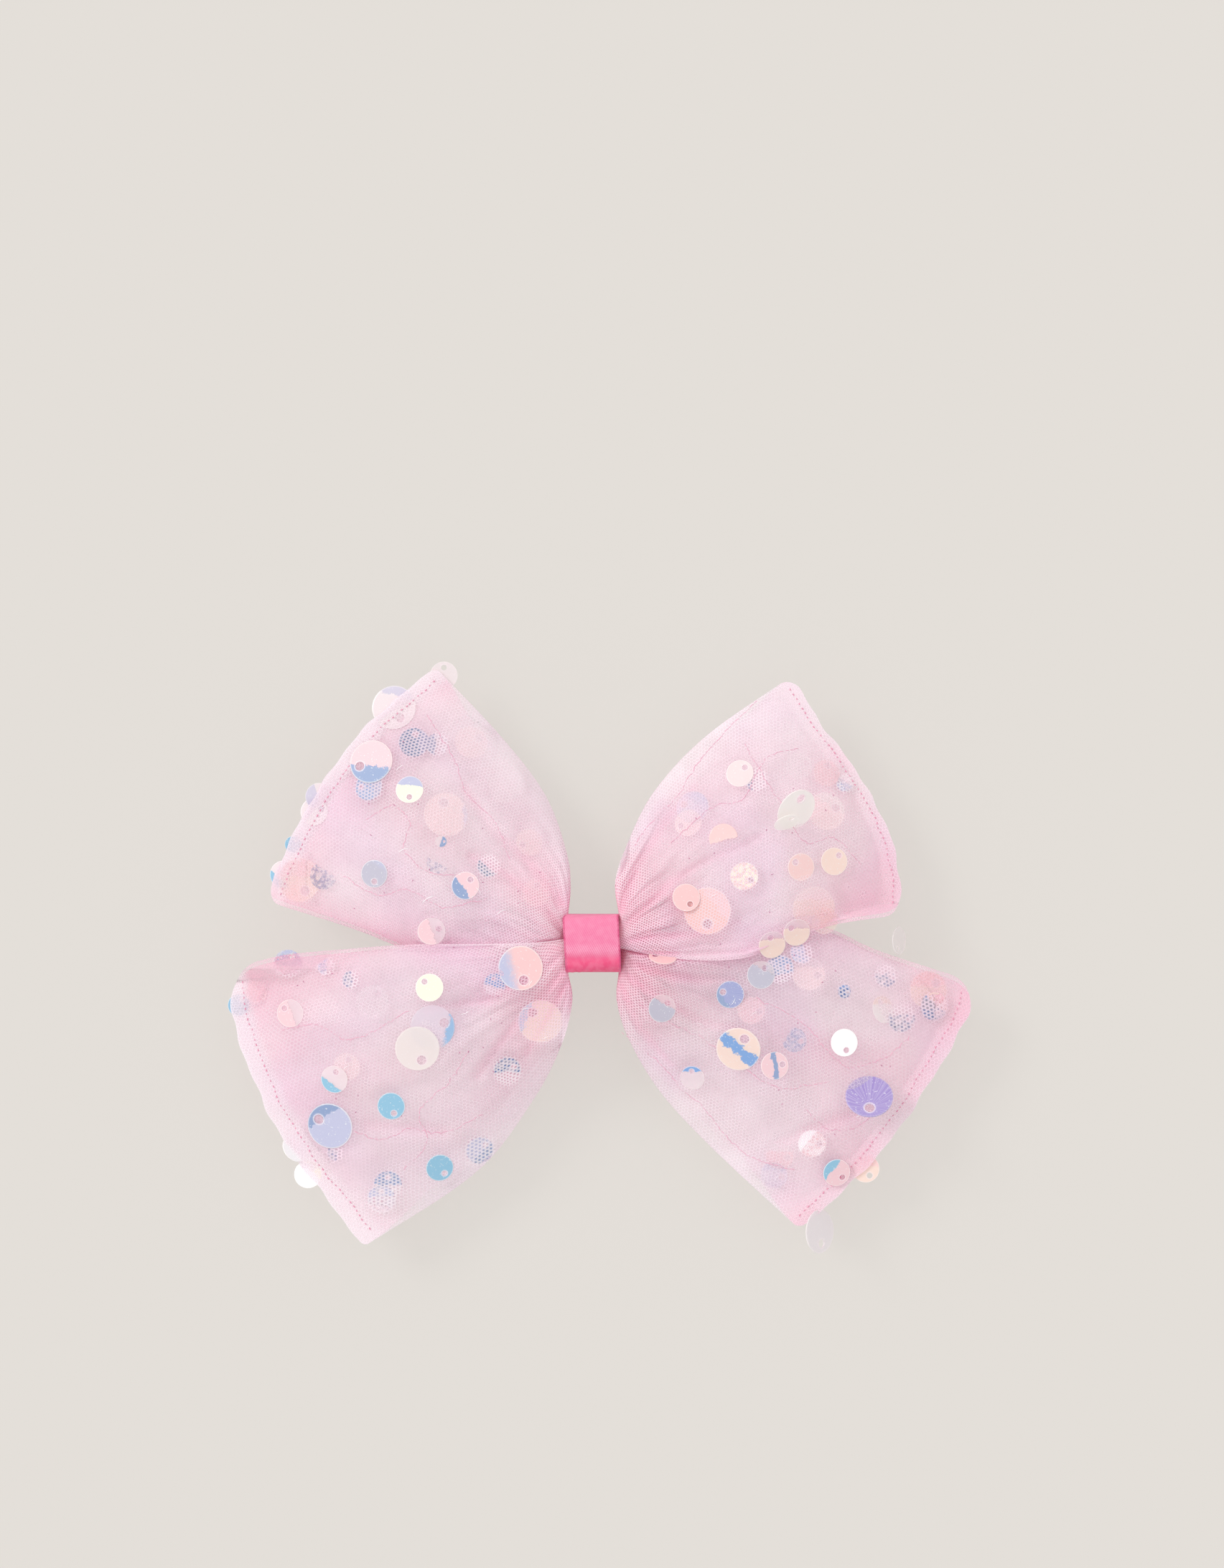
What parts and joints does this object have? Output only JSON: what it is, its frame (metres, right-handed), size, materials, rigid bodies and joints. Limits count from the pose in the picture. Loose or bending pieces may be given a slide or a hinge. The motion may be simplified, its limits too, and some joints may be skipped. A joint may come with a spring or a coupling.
{
  "type": "hair bow",
  "caption": "Two crossed bands of sequinned tulle gathered by a satin ribbon onto a sprung alligator clip with a toothed jaw.",
  "frame": {"origin": "on the flat underside of the clip's lower arm, straight below the knot", "axes": "+X along the clip to the tip of its jaws, +Y to the top of the worn bow, +Z out of the bow's face"},
  "size_m": [0.1322, 0.1023, 0.022],
  "materials": {
    "tulle": "fine pink net, two layers, softly crinkled",
    "satin": "bright pink satin ribbon with a soft sheen",
    "thread": "pink polyester sewing thread",
    "nickel_plate": "stamped sheet, nickel plated",
    "pin_steel": "plain drawn wire with flattened heads",
    "spring_steel": "hard drawn spring wire",
    "pearl_film": "thin pearl film that changes from peach to blue"
  },
  "bodies": {
    "bow": {"clip_pin": "pin_steel", "clip_spring": "spring_steel", "clip_upper_arm": "nickel_plate", "front_band": "tulle", "gathering_thread": "thread", "knot_ribbon": "satin", "large_sequin_01": "pearl_film", "large_sequin_02": "pearl_film", "large_sequin_03": "pearl_film", "large_sequin_04": "pearl_film", "large_sequin_05": "pearl_film", "large_sequin_06": "pearl_film", "large_sequin_07": "pearl_film", "large_sequin_08": "pearl_film", "large_sequin_09": "pearl_film", "large_sequin_10": "pearl_film", "large_sequin_11": "pearl_film", "large_sequin_12": "pearl_film", "large_sequin_13": "pearl_film", "rear_band": "tulle", "small_sequin_01": "pearl_film", "small_sequin_02": "pearl_film", "small_sequin_03": "pearl_film", "small_sequin_04": "pearl_film", "small_sequin_05": "pearl_film", "small_sequin_06": "pearl_film", "small_sequin_07": "pearl_film", "small_sequin_08": "pearl_film", "small_sequin_09": "pearl_film", "small_sequin_10": "pearl_film", "small_sequin_11": "pearl_film", "small_sequin_12": "pearl_film", "small_sequin_13": "pearl_film", "small_sequin_14": "pearl_film", "small_sequin_15": "pearl_film", "small_sequin_16": "pearl_film", "small_sequin_17": "pearl_film", "small_sequin_18": "pearl_film", "small_sequin_19": "pearl_film", "small_sequin_20": "pearl_film", "small_sequin_21": "pearl_film", "small_sequin_22": "pearl_film", "small_sequin_23": "pearl_film", "small_sequin_24": "pearl_film", "small_sequin_25": "pearl_film", "small_sequin_26": "pearl_film", "small_sequin_27": "pearl_film", "small_sequin_28": "pearl_film", "small_sequin_29": "pearl_film", "small_sequin_30": "pearl_film", "small_sequin_31": "pearl_film", "small_sequin_32": "pearl_film"},
    "lower_jaw": {"clip_lower_arm": "nickel_plate"}
  },
  "joints": [
    {"name": "jaw_hinge", "type": "hinge", "parent": "bow", "child": "lower_jaw", "pos_m": [-0.0115, 0, 0.00115], "axis": [0, 1, 0], "range_deg": [0, 26], "stiffness_Nm_per_rad": 0.1, "springref_deg": -28.65, "deforming": ["clip_spring"]}
  ]
}
